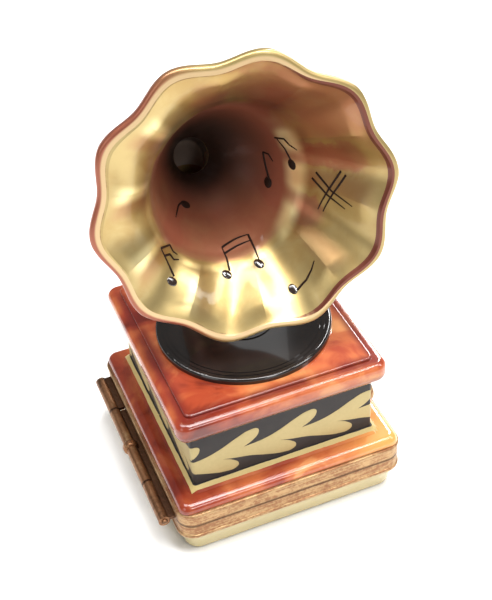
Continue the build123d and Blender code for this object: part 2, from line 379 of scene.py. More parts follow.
# ------------------------------------------------------------------ finishes
@dataclass(frozen=True)
class MarbledGlaze:
    """Glossy marbled orange and red-brown glaze, white under the slab, with painted sheen and
    painted shade.
    """

    deep: Colour = (0.14, 0.016, 0.008)
    red: Colour = (0.33, 0.050, 0.019)
    orange: Colour = (0.50, 0.125, 0.040)
    pale: Colour = (0.68, 0.28, 0.10)
    amber: Colour = (0.80, 0.36, 0.09)
    pool: Colour = (0.16, 0.016, 0.010)
    roof_height: float = 22.40 * MM
    patches: Grain = Grain(46.0, 2.0, 0.5, 1.2)
    veins: Grain = Grain(128.8, 3.0, 0.55, 1.6)
    vein_share: float = 0.28
    # Painted sheen: the marbling gets lighter from left to right.
    painted_sheen_span: Span = (-4.0 * MM, 18.0 * MM)
    painted_sheen_share: float = 0.09
    # The moulding's right front corner turns amber, and painted shade darkens its left side.
    right: Span = (6.0 * MM, 19.0 * MM)
    front: Span = (-8.0 * MM, -19.0 * MM)
    left: Span = (-12.0 * MM, -19.0 * MM)
    moulding: Span = (16.0 * MM, 12.0 * MM)
    corner_amber: float = 0.85
    left_shade: float = 0.6
    # Painted shade darkens the underside of the slab's board.
    board_under: Span = (25.8 * MM, 24.2 * MM)
    board_bottom: Span = (20.0 * MM, 22.0 * MM)
    painted_shade_share: float = 0.8
    # Dark glaze pools in the groove round the slab's flat.
    pool_half: Pair = (16.1 * MM, 17.55 * MM)
    pool_width: Span = (1.9 * MM, 0.2 * MM)
    pool_rise: Span = (26.7 * MM, 27.1 * MM)
    pool_grain: Grain = Grain(120.0, 2.0)
    pool_gaps: Span = (0.15, 0.52)
    pool_share: float = 0.92
    roughness: float = 0.22
    index: float = 1.42
    coat: float = 0.6
    coat_roughness: float = 0.02
    ripple: Grain = Grain(420.0, 2.0)
    ripple_height: float = 0.12 * MM
    ripple_share: float = 0.35

    def colour(self, weave: Weave) -> Socket:
        """Return the marbled colour, with its painted sheen and painted shade.

        Args:
            weave: the material being made.

        Returns:
            The colour.
        """
        x, y, z = weave.split(weave.place())
        both = weave.blend(self.vein_share, weave.noise(self.patches), weave.noise(self.veins))
        # Painted sheen: the marbling is lifted towards the right.
        both = weave.plus(both, weave.times(weave.between(x, *self.painted_sheen_span), self.painted_sheen_share))
        marble = weave.ramp(
            both, (0.34, self.deep), (0.44, self.red), (0.54, self.orange), (0.65, self.pale)
        )
        right, front = weave.between(x, *self.right), weave.between(y, *self.front)
        on_moulding = weave.between(z, *self.moulding)
        corner = weave.times(right, front, on_moulding, self.corner_amber)
        marble = weave.mix(corner, marble, self.amber)
        # Painted shade under the slab's board and on the moulding's left side.
        under = weave.times(
            weave.between(z, *self.board_under), weave.between(z, *self.board_bottom)
        )
        left = weave.times(weave.between(x, *self.left), on_moulding, self.left_shade)
        shade = weave.times(weave.most(under, left), self.painted_shade_share)
        marble = weave.mix(shade, marble, self.deep)
        return weave.mix(self.pooled(weave, x, y, z), marble, self.pool)

    def pooled(self, weave: Weave, x: Socket, y: Socket, z: Socket) -> Socket:
        """Return the share of dark pooled glaze along the slab's groove.

        Args:
            weave: the material being made.
            x: place across, in metres.
            y: place back, in metres.
            z: height, in metres.

        Returns:
            The share, from 0 to 1.
        """
        from_groove = weave.unsigned(weave.past(x, y, self.pool_half))
        line = weave.between(from_groove, *self.pool_width)
        at_top = weave.between(z, *self.pool_rise)
        patchy = weave.between(weave.noise(self.pool_grain), *self.pool_gaps)
        return weave.times(line, at_top, patchy, self.pool_share)

    def material(self) -> bpy.types.Material:
        """Make the marbled glaze.

        Returns:
            The material.
        """
        weave = Weave("marbled_glaze")
        under_slab = weave.below(weave.split(weave.place())[2], self.roof_height)
        weave.set(Base_Color=weave.mix(under_slab, self.colour(weave), PORCELAIN))
        weave.set(Roughness=self.roughness, IOR=self.index)
        weave.set(Coat_Weight=self.coat, Coat_Roughness=self.coat_roughness)
        weave.bump(weave.noise(self.ripple), self.ripple_height, self.ripple_share)
        return weave.material


@dataclass(frozen=True)
class CabinetGlaze:
    """Marbled moulding, gilt fillet and black frieze on one casting, white inside."""

    black: Colour = (0.022, 0.020, 0.020)
    worn_black: Colour = (0.040, 0.034, 0.032)
    gilt: Colour = (0.60, 0.455, 0.19)
    gilt_shade: Colour = (0.42, 0.33, 0.12)
    # Half width and half depth of the fillet, the cavity and the skirt's hollow.
    fillet_half: Pair = (16.60 * MM, 18.05 * MM)
    cavity_half: Pair = (13.7 * MM, 15.15 * MM)
    skirt_half: Pair = (17.35 * MM, 18.8 * MM)
    fillet_top: float = 12.22 * MM
    skirt_top: float = 10.06 * MM
    # The painted edges waver by hand.
    hand: Grain = Grain(350.0)
    wavering: float = 0.2 * MM
    gilt_grain: Grain = Grain(2600.0, 2.0)
    gilt_share: float = 0.5
    wear: Grain = Grain(300.0)
    paint_roughness: float = 0.42
    paint_index: float = 1.33
    ripple_share: float = 0.3
    marbled: MarbledGlaze = field(default_factory=MarbledGlaze)

    def inside(self, weave: Weave) -> Socket:
        """Return 1 on the walls of the hollow inside.

        Args:
            weave: the material being made.

        Returns:
            The share.
        """
        x, y, z = weave.split(weave.place())
        in_cavity = weave.within(x, y, self.cavity_half)
        in_skirt = weave.times(
            weave.within(x, y, self.skirt_half), weave.below(z, self.skirt_top)
        )
        return weave.most(in_cavity, in_skirt)

    def material(self) -> bpy.types.Material:
        """Make the cabinet's glaze.

        Returns:
            The material.
        """
        weave = Weave("cabinet_glaze")
        x, y, height = weave.split(weave.place())
        waver = weave.sway(weave.noise(self.hand), self.wavering)
        on_frieze = weave.above(weave.plus(height, waver), self.fillet_top)
        reach = weave.plus(weave.past(x, y, self.fillet_half), waver)
        off_moulding = weave.below(reach, 0.0)
        wear_and_fold_shade = weave.times(weave.noise(self.gilt_grain), self.gilt_share)
        gilt = weave.mix(wear_and_fold_shade, self.gilt, self.gilt_shade)
        colour = weave.mix(off_moulding, self.marbled.colour(weave), gilt)
        black = weave.mix(weave.noise(self.wear), self.black, self.worn_black)
        colour = weave.mix(on_frieze, colour, black)
        inside = self.inside(weave)
        weave.set(Base_Color=weave.mix(inside, colour, PORCELAIN))
        glaze = self.marbled
        painted = weave.times(off_moulding, weave.inverse(inside))
        weave.set(Roughness=weave.blend(painted, glaze.roughness, self.paint_roughness))
        weave.set(IOR=weave.blend(painted, glaze.index, self.paint_index))
        weave.set(Coat_Weight=weave.blend(painted, glaze.coat, 0.0))
        weave.set(Coat_Roughness=glaze.coat_roughness)
        weave.bump(weave.noise(glaze.ripple), glaze.ripple_height, self.ripple_share)
        return weave.material


class Wall(Enum):
    """Which horn piece a lustre is for."""

    BELL = "bell"
    NECK = "neck"


@dataclass(frozen=True)
class HornPlaces:
    """What is measured at each place of the horn's wall.

    Attributes:
        across: place across the mouth, in metres.
        up: place up the mouth, in metres.
        depth: depth behind the mouth, in mm.
        bearing: angle round the mouth's axis.
        turns: the same angle counted in lobes.
        ring: distance from the mouth's axis with the lobes taken out, in mm.
        radius: distance from the horn's curved middle line, in mm.
        outer: 1 on the outside of the wall.
        in_bend: 1 on the far wall of the bore's bend.
        cloud: broad noise.
        fine: fine noise.
        mottled: both noises together.
        near_throat: 1 where the copper gathers, as painted shade round the bell's throat and as
            random stains on the neck.
        high: 1 in the upper part of the mouth.
        on_flare: 1 between the crease and the lip.
        fold: 1 in the middle of each fold of the flutes.
    """

    across: Socket
    up: Socket
    depth: Socket
    bearing: Socket
    turns: Socket
    ring: Socket
    radius: Socket
    outer: Socket
    in_bend: Socket
    cloud: Socket
    fine: Socket
    mottled: Socket
    near_throat: Socket
    high: Socket
    on_flare: Socket
    fold: Socket


@dataclass(frozen=True)
class HornLustre:
    """Gold lustre: pale lip, brown line, coppery flare, painted shade in the throat, painted
    highlights.

    Places across and up the mouth are in metres; ring, radius and depth are in mm.
    """

    mouth: Vector
    turn: Euler
    wall: Wall = Wall.BELL
    gold: Colour = (0.43, 0.29, 0.105)
    pale_gold: Colour = (0.50, 0.375, 0.16)
    copper: Colour = (0.38, 0.175, 0.085)
    rust: Colour = (0.34, 0.105, 0.058)
    # Painted shade for the throat, and painted light for the bore's far wall.
    throat: Colour = (0.040, 0.020, 0.014)
    painted_bore_light: Colour = (0.34, 0.25, 0.20)
    lip: Colour = (0.64, 0.45, 0.235)
    edge: Colour = (0.40, 0.29, 0.11)
    # Painted highlight colour for the glints.
    painted_highlight: Colour = (0.98, 0.83, 0.42)
    line: Colour = (0.16, 0.040, 0.022)
    # Where the middle line has drifted to at the throat, across, up and in, in mm.
    drift: tuple[float, float, float] = (-4.9, -0.8, 23.9)
    # The bore's bend: from how far back and how high, its middle and its radius.
    bend_back: float = 18.0 * MM
    bend_height: float = 45.0 * MM
    bend_middle: tuple[float, float, float] = (-0.5 * MM, 14.46 * MM, 45.26 * MM)
    bend_radius: float = 6.0 * MM
    # Between the bore's radius and the neck's own.
    bore_limit: float = 3.5 * MM
    clouds: Grain = Grain(58.0, 3.0, 0.5, 1.2)
    specks: Grain = Grain(240.0, 4.0, 0.6, 0.8)
    cloud_share: float = 0.3
    # Flutes: how many, how far the lip swings, and the angle of the first lobe.
    lobes: int = 10
    lobe_rise: float = 0.66
    lobe_phase: float = 5.0
    fold_drift: float = 0.8
    flare_inner: Span = (13.0, 14.5)
    flare_outer: Span = (21.2, 18.5)
    # Copper gathers round the throat as painted shade and over the upper right as painted
    # reflection on the bell, and in random stains on the neck.
    throat_shading: Span = (14.0, 11.8)
    neck_stain: Span = (0.35, 0.65)
    neck_share: float = 0.8
    high: Span = (-2.0 * MM, 15.0 * MM)
    right: Span = (-12.0 * MM, 12.0 * MM)
    upper_reflection_share: float = 0.42
    throat_shading_share: float = 0.62
    mottled_share: float = 0.8
    # Brown streaks on the flare: bearing, half width, how far out, strength.
    streaks: tuple[tuple[float, float, float, float], ...] = (
        (9.0, 13.0, 20.5, 0.50),
        (-34.0, 17.0, 16.5, 0.50),
        (64.0, 13.0, 20.0, 0.30),
        (104.0, 14.0, 19.5, 0.32),
        (150.0, 9.0, 18.0, 0.22),
        (-150.0, 10.0, 16.0, 0.22),
    )
    streak_wander: float = 0.4
    streak_core: float = 0.2
    streak_fade: float = 4.0
    tint_and_shade_share: float = 0.6
    # Painted shade darkens the throat with depth, and painted light shows the bore's far wall.
    deep: Span = (12.0, 22.0)
    outer_shade_share: float = 0.25
    bore_light_depth: Span = (27.5, 28.5)
    # A brown line, a hair on the left and broad on the right, and then the lip.
    line_start: float = 21.2
    lip_start: float = 21.35
    line_spread: float = 0.75
    line_broad: Span = (4.0 * MM, 17.0 * MM)
    line_gaps: Span = (0.45, 0.85)
    lip_depth: float = 1.9
    lip_outer: Span = (21.85, 22.25)
    lip_side: Span = (0.5, 0.9)
    lip_left: Span = (-2.0 * MM, -14.0 * MM)
    # Painted shade: darker copper on one side of each fold, away from the middle of the bottom.
    fold_shade_turn: float = 2.2
    fold_shade_wander: float = 2.4
    fold_shade_side: Span = (4.0 * MM, 11.0 * MM)
    fold_shade_share: float = 0.5
    # Painted highlights: on the crease to the right, and down the folds to the left.
    glint_radius: float = 13.0
    crease_width: Span = (1.3, 0.1)
    glint_right: Span = (4.0 * MM, 9.0 * MM)
    glint_sweep: Span = (-1.6, 0.4)
    glint_low: Span = (9.0 * MM, 4.0 * MM)
    glint_peak: Span = (0.45, 0.9)
    glint_left: Span = (-7.0 * MM, -11.0 * MM)
    glint_share: float = 0.9
    metal: Span = (0.9, 0.35)
    glint_metal: float = 0.75
    lip_metal: float = 0.6
    roughness: Span = (0.30, 0.40)
    lip_roughness: float = 0.34
    coat: float = 0.35
    coat_roughness: float = 0.06
    # Hand-pressed flutes run from the lip to the crease round the throat.
    flute_inner: Span = (12.5, 15.0)
    flute_outer: Span = (21.3, 19.0)
    crease_radius: float = 12.9
    crease_share: float = 0.35
    dents: Grain = Grain(160.0, 2.0)
    dent_share: float = 0.10
    flute_height: float = 0.42 * MM

    def around_middle(
        self, weave: Weave, across: Socket, up: Socket, depth: Socket
    ) -> tuple[Socket, Socket]:
        """Measure from the horn's curved middle line.

        Args:
            weave: the material being made.
            across: place across the mouth, in metres.
            up: place up the mouth, in metres.
            depth: depth behind the mouth, in mm.

        Returns:
            The distance from the line, in mm, and 1 where the wall faces away from it.
        """
        normal = weave.seen_from(weave.facing(), self.turn)
        facing_across, facing_up, _ = weave.split(normal)
        way = weave.between(depth, 0.0, self.drift[2])
        from_x = weave.minus(across, weave.times(way, self.drift[0] * MM))
        from_y = weave.minus(up, weave.times(way, self.drift[1] * MM))
        away = weave.plus(weave.times(from_x, facing_across), weave.times(from_y, facing_up))
        return weave.times(weave.length(from_x, from_y), 1.0 / MM), weave.above(away, 0.0)

    def inside_bend(self, weave: Weave) -> Socket:
        """Find the far wall of the neck's bore, seen down the throat.

        Args:
            weave: the material being made.

        Returns:
            1 on that wall.
        """
        across, back, height = weave.split(weave.place())
        facing_back = weave.split(weave.facing())[1]
        middle_across, middle_back, middle_height = self.bend_middle
        from_middle = weave.length(
            weave.minus(back, middle_back), weave.minus(height, middle_height)
        )
        from_line = weave.length(
            weave.minus(from_middle, self.bend_radius), weave.minus(across, middle_across)
        )
        return weave.times(
            weave.above(back, self.bend_back),
            weave.above(height, self.bend_height),
            weave.below(from_line, self.bore_limit),
            weave.below(facing_back, 0.0),
        )

    def survey(self, weave: Weave) -> HornPlaces:
        """Measure everything that the finish depends on.

        Args:
            weave: the material being made.

        Returns:
            The measures.
        """
        across, up, out = weave.split(weave.seen_from(weave.place(), self.turn, self.mouth))
        bearing = weave.math("ARCTAN2", up, across)
        phase = weave.minus(bearing, math.radians(self.lobe_phase))
        turns = weave.times(phase, float(self.lobes))
        from_axis = weave.times(weave.length(across, up), 1.0 / MM)
        ring = weave.minus(from_axis, weave.times(weave.cosine(turns), self.lobe_rise))
        depth = weave.times(out, -1.0 / MM)
        radius, outer = self.around_middle(weave, across, up, depth)
        in_bend = self.inside_bend(weave)
        cloud, fine = weave.noise(self.clouds), weave.noise(self.specks)
        near_throat = weave.between(radius, *self.throat_shading)
        if self.wall is Wall.NECK:
            outer = weave.inverse(in_bend)
            near_throat = weave.times(weave.between(cloud, *self.neck_stain), self.neck_share)
        half_turn = weave.times(weave.plus(turns, weave.sway(cloud, self.fold_drift)), 0.5)
        return HornPlaces(
            across=across,
            up=up,
            depth=depth,
            bearing=bearing,
            turns=turns,
            ring=ring,
            radius=radius,
            outer=outer,
            in_bend=in_bend,
            cloud=cloud,
            fine=fine,
            mottled=weave.blend(self.cloud_share, cloud, fine),
            near_throat=near_throat,
            high=weave.between(up, *self.high),
            on_flare=weave.times(
                weave.between(radius, *self.flare_inner), weave.between(ring, *self.flare_outer)
            ),
            fold=weave.inverse(weave.unsigned(weave.cosine(half_turn))),
        )

    def flare(self, weave: Weave, at: HornPlaces) -> Socket:
        """Colour the flare, from pale gold to rust, with painted reflection over the upper right
        and painted shade round the throat.

        Args:
            weave: the material being made.
            at: the measures.

        Returns:
            The colour.
        """
        # Painted reflection over the upper right and painted shade round the throat, with random
        # mottling and streaks.
        right = weave.between(at.across, *self.right)
        tint_and_shade = weave.plus(
            weave.times(at.high, right, self.upper_reflection_share),
            weave.times(at.near_throat, self.throat_shading_share),
            weave.times(at.mottled, self.mottled_share),
        )
        for bearing, width, reach, strength in self.streaks:
            away = weave.off(at.bearing, math.radians(bearing))
            away = weave.plus(away, weave.sway(at.fine, self.streak_wander))
            streak = weave.times(
                weave.between(away, math.radians(width), math.radians(width * self.streak_core)),
                weave.between(at.ring, reach, reach - self.streak_fade),
                strength,
            )
            tint_and_shade = weave.plus(tint_and_shade, streak)
        return weave.ramp(
            weave.times(tint_and_shade, self.tint_and_shade_share),
            (0.22, self.pale_gold),
            (0.33, self.gold),
            (0.47, self.copper),
            (0.66, self.rust),
        )

    def lip_zones(self, weave: Weave, at: HornPlaces) -> tuple[Socket, Socket]:
        """Find the lip and the brown line behind it.

        Args:
            weave: the material being made.
            at: the measures.

        Returns:
            1 on the lip, and 1 on the line.
        """
        broad = weave.between(at.across, *self.line_broad)
        line_end = weave.plus(weave.times(broad, self.line_spread), self.lip_start)
        shallow = weave.below(at.depth, self.lip_depth)
        on_line = weave.times(
            weave.above(at.ring, self.line_start),
            weave.below(at.ring, line_end),
            weave.between(weave.plus(broad, at.fine), *self.line_gaps),
            shallow,
        )
        return weave.times(weave.above(at.ring, self.lip_start), shallow), on_line

    def lip_colour(self, weave: Weave, at: HornPlaces) -> Socket:
        """Colour the lip, red-brown on the left below a thin gold edge.

        Args:
            weave: the material being made.
            at: the measures.

        Returns:
            The colour.
        """
        outside = weave.most(
            weave.between(at.depth, *self.lip_side), weave.between(at.ring, *self.lip_outer)
        )
        left = weave.between(at.across, *self.lip_left)
        return weave.mix(outside, self.lip, weave.mix(left, self.edge, self.rust))

    def wear_and_fold_shade(self, weave: Weave, at: HornPlaces) -> Socket:
        """Find where darker copper is painted on one side of each fold, as shade.

        Args:
            weave: the material being made.
            at: the measures.

        Returns:
            The share of copper.
        """
        bend = weave.sway(at.mottled, self.fold_shade_wander)
        one_side = weave.cosine(weave.plus(at.turns, self.fold_shade_turn, bend))
        side = weave.between(weave.unsigned(at.across), *self.fold_shade_side)
        in_fold = weave.times(weave.between(one_side, 0.0, 1.0), at.on_flare)
        return weave.times(in_fold, weave.most(side, at.high), self.fold_shade_share)

    def glints(self, weave: Weave, at: HornPlaces) -> Socket:
        """Find where highlights are painted on.

        Args:
            weave: the material being made.
            at: the measures.

        Returns:
            The share of painted highlight.
        """
        sweep = weave.cosine(weave.plus(at.turns, math.pi))
        on_crease = weave.times(
            weave.between(weave.off(at.radius, self.glint_radius), *self.crease_width),
            weave.between(at.across, *self.glint_right),
            weave.between(sweep, *self.glint_sweep),
            weave.between(at.up, *self.glint_low),
        )
        left = weave.times(weave.between(at.across, *self.glint_left), at.on_flare)
        down_fold = weave.times(weave.between(at.fold, *self.glint_peak), left)
        return weave.times(weave.most(on_crease, down_fold), weave.inverse(at.outer))

    def flute(self, weave: Weave, at: HornPlaces) -> None:
        """Press the flutes and the crease into the surface.

        Args:
            weave: the material being made.
            at: the measures.
        """
        fade = weave.times(
            weave.between(at.radius, *self.flute_inner), weave.between(at.ring, *self.flute_outer)
        )
        crease = weave.between(weave.off(at.radius, self.crease_radius), *self.crease_width)
        height = weave.plus(
            weave.times(at.fold, fade),
            weave.times(crease, self.crease_share),
            weave.times(weave.noise(self.dents), self.dent_share),
        )
        weave.bump(height, self.flute_height)

    def material(self) -> bpy.types.Material:
        """Make the horn's lustre.

        Returns:
            The material.
        """
        weave = Weave(f"horn_lustre_{self.wall.value}")
        at = self.survey(weave)
        # Painted shade: the throat goes dark with depth, less on the outside of the wall.
        inward = weave.blend(at.outer, 1.0, self.outer_shade_share)
        deep = weave.times(weave.between(at.depth, *self.deep), inward)
        colour = weave.mix(deep, self.flare(weave, at), self.throat)
        # Painted light: the far wall of the bore's bend is lightened where it shows down the
        # throat.
        bore_light = weave.times(weave.between(at.depth, *self.bore_light_depth), at.in_bend)
        colour = weave.mix(bore_light, colour, self.painted_bore_light)
        on_lip, on_line = self.lip_zones(weave, at)
        colour = weave.mix(on_lip, colour, self.lip_colour(weave, at))
        colour = weave.mix(on_line, colour, self.line)
        # Painted shade: darker copper on one side of each fold.
        colour = weave.mix(self.wear_and_fold_shade(weave, at), colour, self.copper)
        # Painted highlights on the crease and down the folds.
        glint = self.glints(weave, at)
        colour = weave.mix(weave.times(glint, self.glint_share), colour, self.painted_highlight)
        weave.set(Base_Color=colour)
        # Less metal on the brown line, the copper round the throat and the throat's painted shade.
        stain_and_shade = weave.most(at.near_throat, on_line, deep)
        metal = weave.blend(stain_and_shade, *self.metal)
        metal = weave.most(metal, weave.times(glint, self.glint_metal))
        weave.set(Metallic=weave.blend(on_lip, metal, self.lip_metal))
        rough = weave.blend(at.fine, *self.roughness)
        weave.set(Roughness=weave.blend(on_lip, rough, self.lip_roughness))
        weave.set(Coat_Weight=self.coat, Coat_Roughness=self.coat_roughness)
        self.flute(weave, at)
        return weave.material


@dataclass(frozen=True)
class RecordGlaze:
    """Black glaze with fine grooves."""

    centre: Pair
    black: Colour = (0.010, 0.009, 0.008)
    brown_black: Colour = (0.020, 0.014, 0.012)
    cloud: Grain = Grain(150.0, 3.0)
    groove_pitch: float = 0.42 * MM
    groove_height: float = 0.002 * MM
    groove_share: float = 0.15
    label_radius: float = 5.0 * MM
    label_edge: float = 0.6 * MM
    roughness: Span = (0.05, 0.10)

    def material(self) -> bpy.types.Material:
        """Make the record's glaze.

        Returns:
            The material.
        """
        weave = Weave("record_glaze")
        x, y, _ = weave.split(weave.place())
        radius = weave.length(weave.minus(x, self.centre[0]), weave.minus(y, self.centre[1]))
        groove = weave.math("SINE", weave.times(radius, math.tau / self.groove_pitch))
        played = weave.between(radius, self.label_radius, self.label_radius + self.label_edge)
        cloud = weave.noise(self.cloud)
        weave.set(Base_Color=weave.mix(cloud, self.black, self.brown_black))
        weave.set(Roughness=weave.blend(cloud, *self.roughness), IOR=1.45)
        weave.set(Coat_Weight=0.4, Coat_Roughness=0.01)
        weave.bump(weave.times(groove, played), self.groove_height, self.groove_share)
        return weave.material


class Age(Enum):
    """How dark a brass piece has gone."""

    BRIGHT = 0.36
    WORN = 0.42
    DARK = 0.52


@dataclass(frozen=True)
class AgedBrass:
    """Gilt brass, darkened in patches, with painted shade in its seams."""

    age: Age = Age.WORN
    middle_age: float = 0.45
    bright: Colour = (0.48, 0.31, 0.155)
    brown: Colour = (0.30, 0.145, 0.07)
    umber: Colour = (0.075, 0.036, 0.020)
    cloud: Grain = Grain(190.0, 4.0, 0.6, 0.6)
    specks: Grain = Grain(1500.0, 3.0, 0.6)
    speck_share: float = 0.45
    # Drawn strip: fine lines run level round the band.
    lines: Grain = Grain(3400.0, 3.0, 0.6)
    level: tuple[float, float, float] = (0.05, 0.05, 1.0)
    line_share: float = 0.55
    line_height: float = 1.6
    height: float = 0.08 * MM
    # Painted shade darkens where the mounts meet, the solder webs and the joints between the
    # knuckles.
    parting: float = 7.13 * MM
    parting_width: Span = (0.42 * MM, 0.08 * MM)
    parting_share: float = 0.75
    web: Span = (-21.25 * MM, -20.75 * MM)
    knuckle_end: float = 9.36 * MM
    knuckle_width: Span = (0.40 * MM, 0.12 * MM)
    hinge_share: float = 0.85

    def seam_shade(self, weave: Weave) -> Socket:
        """Find the painted shade: on the hinge's webs and joints, or along the parting line.

        Args:
            weave: the material being made.

        Returns:
            The share of painted shade.
        """
        x, y, z = weave.split(weave.place())
        if self.age is not Age.DARK:
            seam = weave.between(weave.off(z, self.parting), *self.parting_width)
            return weave.times(seam, self.parting_share)
        web = weave.between(x, *self.web)
        from_joint = weave.off(weave.unsigned(y), self.knuckle_end)
        joint = weave.between(from_joint, *self.knuckle_width)
        return weave.times(weave.most(web, joint), self.hinge_share)

    def material(self) -> bpy.types.Material:
        """Make the aged brass.

        Returns:
            The material.
        """
        weave = Weave(f"aged_brass_{self.age.name.lower()}")
        cloud, specks = weave.noise(self.cloud), weave.noise(self.specks)
        lines = weave.noise(self.lines, weave.stretched(self.level))
        wear = weave.plus(
            weave.blend(self.speck_share, cloud, specks),
            self.age.value - self.middle_age,
            weave.sway(lines, self.line_share),
        )
        brass = weave.ramp(wear, (0.30, self.bright), (0.52, self.brown), (0.85, self.umber))
        # Painted shade in the seams, in umber.
        weave.set(Base_Color=weave.mix(self.seam_shade(weave), brass, self.umber))
        weave.set(Metallic=0.9, Roughness=weave.blend(specks, 0.30, 0.5))
        weave.bump(weave.plus(weave.times(lines, self.line_height), specks), self.height, 0.8)
        return weave.material


@dataclass(frozen=True)
class TrayGlaze:
    """Cream-gold glaze outside, white inside."""

    cream: Colour = (0.45, 0.36, 0.145)
    light_cream: Colour = (0.60, 0.48, 0.22)
    white: Colour = (0.82, 0.80, 0.74)
    cavity_half: Pair = (17.45 * MM, 18.9 * MM)
    cavity_floor: float = 1.85 * MM
    cloud: Grain = Grain(120.0, 3.0, 0.5)
    ripple: Grain = Grain(500.0, 2.0)
    ripple_height: float = 0.1 * MM

    def material(self) -> bpy.types.Material:
        """Make the tray's glaze.

        Returns:
            The material.
        """
        weave = Weave("tray_glaze")
        x, y, z = weave.split(weave.place())
        above_floor = weave.above(z, self.cavity_floor)
        inside = weave.times(weave.within(x, y, self.cavity_half), above_floor)
        cream = weave.mix(weave.noise(self.cloud), self.cream, self.light_cream)
        weave.set(Base_Color=weave.mix(inside, cream, self.white))
        weave.set(Roughness=0.22, IOR=1.5, Coat_Weight=0.7, Coat_Roughness=0.05)
        weave.bump(weave.noise(self.ripple), self.ripple_height, 0.25)
        return weave.material


@dataclass(frozen=True)
class GiltLeaf:
    """Matt gold paint with a fine grain."""

    gold: Colour = (0.55, 0.44, 0.205)
    shade: Colour = (0.40, 0.32, 0.135)
    grain: Grain = Grain(2400.0, 2.0)
    cloud: Grain = Grain(260.0, 2.0)
    shade_share: float = 0.8
    grain_height: float = 0.02 * MM

    def material(self) -> bpy.types.Material:
        """Make the gilt of the leaves.

        Returns:
            The material.
        """
        weave = Weave("gilt_leaf")
        grain = weave.noise(self.grain)
        tone = weave.blend(0.5, grain, weave.noise(self.cloud))
        shade = weave.times(tone, self.shade_share)
        weave.set(Base_Color=weave.mix(shade, self.gold, self.shade))
        weave.set(Metallic=0.25, Roughness=weave.blend(grain, 0.38, 0.5))
        weave.bump(grain, self.grain_height, 0.4)
        return weave.material


class Brush(Enum):
    """How thick the enamel lies: a thin dry stroke or a pooled glossy drop."""

    DRY = 0.0
    POOLED = 1.0


@dataclass(frozen=True)
class NoteEnamel:
    """Brown-black brushed enamel."""

    brush: Brush = Brush.DRY
    dark: Colour = (0.012, 0.006, 0.004)
    brown: Colour = (0.028, 0.012, 0.008)
    stroke: Grain = Grain(900.0, 3.0)

    def material(self) -> bpy.types.Material:
        """Make the notes' enamel.

        Returns:
            The material.
        """
        weave = Weave(f"note_enamel_{self.brush.name.lower()}")
        stroke = weave.noise(self.stroke)
        weave.set(Base_Color=weave.mix(stroke, self.dark, self.brown))
        pooled = self.brush is Brush.POOLED
        roughness = (0.12, 0.2) if pooled else (0.35, 0.5)
        weave.set(Specular_IOR_Level=0.8 if pooled else 0.12, Coat_Weight=self.brush.value)
        weave.set(Roughness=weave.blend(stroke, *roughness))
        return weave.material


@dataclass(frozen=True)
class Cement:
    """Matt white cement."""

    white: Colour = (0.70, 0.66, 0.58)
    grey: Colour = (0.50, 0.45, 0.38)
    grain: Grain = Grain(1800.0, 4.0, 0.65)
    grain_height: float = 0.05 * MM

    def material(self) -> bpy.types.Material:
        """Make the cement.

        Returns:
            The material.
        """
        weave = Weave("cement")
        grain = weave.noise(self.grain)
        weave.set(Base_Color=weave.mix(grain, self.white, self.grey))
        weave.set(Roughness=weave.blend(grain, 0.7, 0.95))
        weave.bump(grain, self.grain_height, 0.6)
        return weave.material


# ------------------------------------------------------------------ modelling help
Piece = bpy.types.Object


def coat(node: str, material: bpy.types.Material) -> Piece:
    """Give a CAD node one material.

    Args:
        node: name of the node.
        material: the material.

    Returns:
        The node's object.
    """
    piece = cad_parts[node]
    for slot in piece.material_slots:
        slot.material = material
    return piece


def paint(piece: Piece, material: bpy.types.Material) -> None:
    """Give a new piece one material."""
    piece.data.materials.clear()
    piece.data.materials.append(material)


def deselect() -> None:
    """Leave object mode with nothing selected."""
    if bpy.context.object and bpy.context.object.mode != "OBJECT":
        bpy.ops.object.mode_set(mode="OBJECT")
    bpy.ops.object.select_all(action="DESELECT")


def pick(*pieces: Piece) -> None:
    """Select these pieces alone, with the first one active.

    Args:
        pieces: the pieces.
    """
    deselect()
    for piece in pieces:
        piece.select_set(True)
    bpy.context.view_layer.objects.active = pieces[0]


def settle(piece: Piece) -> None:
    """Apply a piece's place to its mesh."""
    pick(piece)
    bpy.ops.object.transform_apply(location=True, rotation=True, scale=True)


def to_mesh(curve: Piece) -> Piece:
    """Turn a curve into a mesh.

    Args:
        curve: the curve.

    Returns:
        The mesh piece.
    """
    pick(curve)
    bpy.ops.object.convert(target="MESH")
    return bpy.context.object


def join(pieces: list[Piece], name: str) -> Piece:
    """Join meshes into one named piece.

    Args:
        pieces: the meshes, one or more.
        name: name of the piece.

    Returns:
        The joined piece.
    """
    pick(*pieces)
    if len(pieces) > 1:
        bpy.ops.object.join()
    made = bpy.context.object
    made.name = name
    made.data.name = name
    return made


def face_outwards(piece: Piece, merge: float = 0.002 * MM) -> None:
    """Merge doubles and point every face outwards.

    Args:
        piece: the piece.
        merge: points nearer than this are merged.
    """
    pick(piece)
    bpy.ops.object.mode_set(mode="EDIT")
    bpy.ops.mesh.select_all(action="SELECT")
    bpy.ops.mesh.remove_doubles(threshold=merge)
    bpy.ops.mesh.normals_make_consistent(inside=False)
    bpy.ops.object.mode_set(mode="OBJECT")


